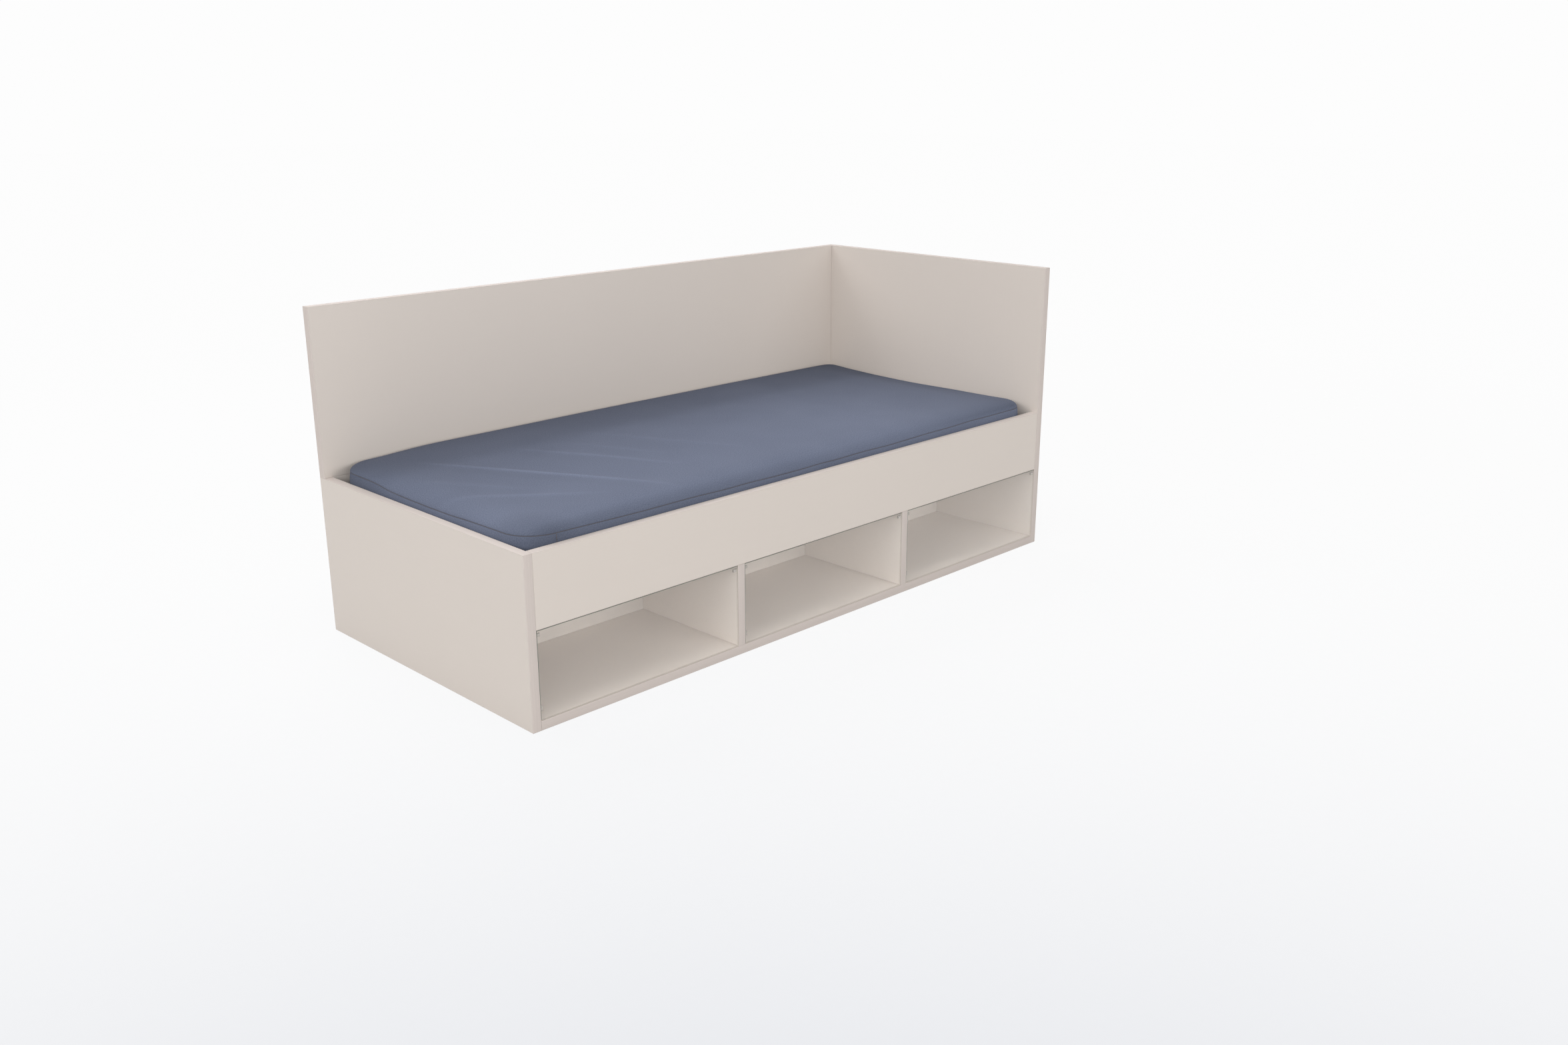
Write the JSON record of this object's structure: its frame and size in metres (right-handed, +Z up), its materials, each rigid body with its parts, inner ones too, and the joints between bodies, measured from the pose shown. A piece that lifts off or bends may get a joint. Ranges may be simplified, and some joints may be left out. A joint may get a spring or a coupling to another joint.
{
  "type": "corner bed",
  "caption": "Single corner bed with a tall back and one tall end, a slatted base with a mattress, and front niches closed by lift-up glass flaps.",
  "frame": {"origin": "on the floor, under the middle of the bed's length and depth", "axes": "+X along the bed towards its tall end, +Y from the open front to the tall back, +Z up"},
  "size_m": [2.06, 0.95, 0.92],
  "materials": {
    "greige_board": "satin greige laminate on board, with edge bands",
    "slat_timber": "planed pine, unpainted",
    "dowel_beech": "turned beech, unpainted",
    "webbing": "woven tape",
    "mattress_fabric": "blue-grey twill",
    "clear_glass": "clear, with ground edges",
    "zinc": "die-cast zinc, satin",
    "painted_metal": "greige paint, satin",
    "greige_plastic": "moulded, matte"
  },
  "bodies": {
    "bed": {"left_side_panel": "greige_board", "right_side_panel": "greige_board", "front_rail": "greige_board", "bottom_board": "greige_board", "lower_back_panel": "greige_board", "upper_back_panel": "greige_board", "niche_back_wall": "greige_board", "niche_top_board": "greige_board", "left_niche_divider": "greige_board", "right_niche_divider": "greige_board", "left_rear_spacer": "greige_board", "right_rear_spacer": "greige_board", "front_slat_ledger": "slat_timber", "rear_slat_ledger": "slat_timber", "bed_slat_01": "slat_timber", "bed_slat_02": "slat_timber", "bed_slat_03": "slat_timber", "bed_slat_04": "slat_timber", "bed_slat_05": "slat_timber", "bed_slat_06": "slat_timber", "bed_slat_07": "slat_timber", "bed_slat_08": "slat_timber", "bed_slat_09": "slat_timber", "bed_slat_10": "slat_timber", "bed_slat_11": "slat_timber", "bed_slat_12": "slat_timber", "front_slat_tape": "webbing", "rear_slat_tape": "webbing", "mattress": "mattress_fabric", "left_flap_left_bush": "greige_plastic", "left_flap_right_bush": "greige_plastic", "middle_flap_left_bush": "greige_plastic", "middle_flap_right_bush": "greige_plastic", "right_flap_left_bush": "greige_plastic", "right_flap_right_bush": "greige_plastic", "left_latch_housing": "greige_plastic", "middle_latch_housing": "greige_plastic", "right_latch_housing": "greige_plastic", "rail_left_cam_lock": "zinc", "rail_left_cam_bolt": "zinc", "rail_right_cam_lock": "zinc", "rail_right_cam_bolt": "zinc", "upper_back_cam_lock": "zinc", "upper_back_cam_bolt": "zinc", "upper_back_dowel": "dowel_beech"},
    "left_flap": {"left_glass_flap": "clear_glass", "left_flap_left_pivot": "painted_metal", "left_flap_right_pivot": "painted_metal", "left_flap_strike_plate": "painted_metal"},
    "middle_flap": {"middle_glass_flap": "clear_glass", "middle_flap_left_pivot": "painted_metal", "middle_flap_right_pivot": "painted_metal", "middle_flap_strike_plate": "painted_metal"},
    "right_flap": {"right_glass_flap": "clear_glass", "right_flap_left_pivot": "painted_metal", "right_flap_right_pivot": "painted_metal", "right_flap_strike_plate": "painted_metal"},
    "left_plunger": {"left_latch_plunger": "greige_plastic"},
    "middle_plunger": {"middle_latch_plunger": "greige_plastic"},
    "right_plunger": {"right_latch_plunger": "greige_plastic"}
  },
  "joints": [
    {"name": "left_flap_hinge", "type": "hinge", "parent": "bed", "child": "left_flap", "pos_m": [-0.67833, -0.4667, 0.2435], "axis": [-1, 0, 0], "range_deg": [0, 90]},
    {"name": "middle_flap_hinge", "type": "hinge", "parent": "bed", "child": "middle_flap", "pos_m": [0, -0.4667, 0.2435], "axis": [-1, 0, 0], "range_deg": [0, 90]},
    {"name": "right_flap_hinge", "type": "hinge", "parent": "bed", "child": "right_flap", "pos_m": [0.67833, -0.4667, 0.2435], "axis": [-1, 0, 0], "range_deg": [0, 90]},
    {"name": "left_plunger_slide", "type": "slide", "parent": "bed", "child": "left_plunger", "axis": [0, 1, 0], "range_m": [0, 0.002], "stiffness_N_per_m": 200, "springref_m": -0.002},
    {"name": "middle_plunger_slide", "type": "slide", "parent": "bed", "child": "middle_plunger", "axis": [0, 1, 0], "range_m": [0, 0.002], "stiffness_N_per_m": 200, "springref_m": -0.002},
    {"name": "right_plunger_slide", "type": "slide", "parent": "bed", "child": "right_plunger", "axis": [0, 1, 0], "range_m": [0, 0.002], "stiffness_N_per_m": 200, "springref_m": -0.002}
  ]
}
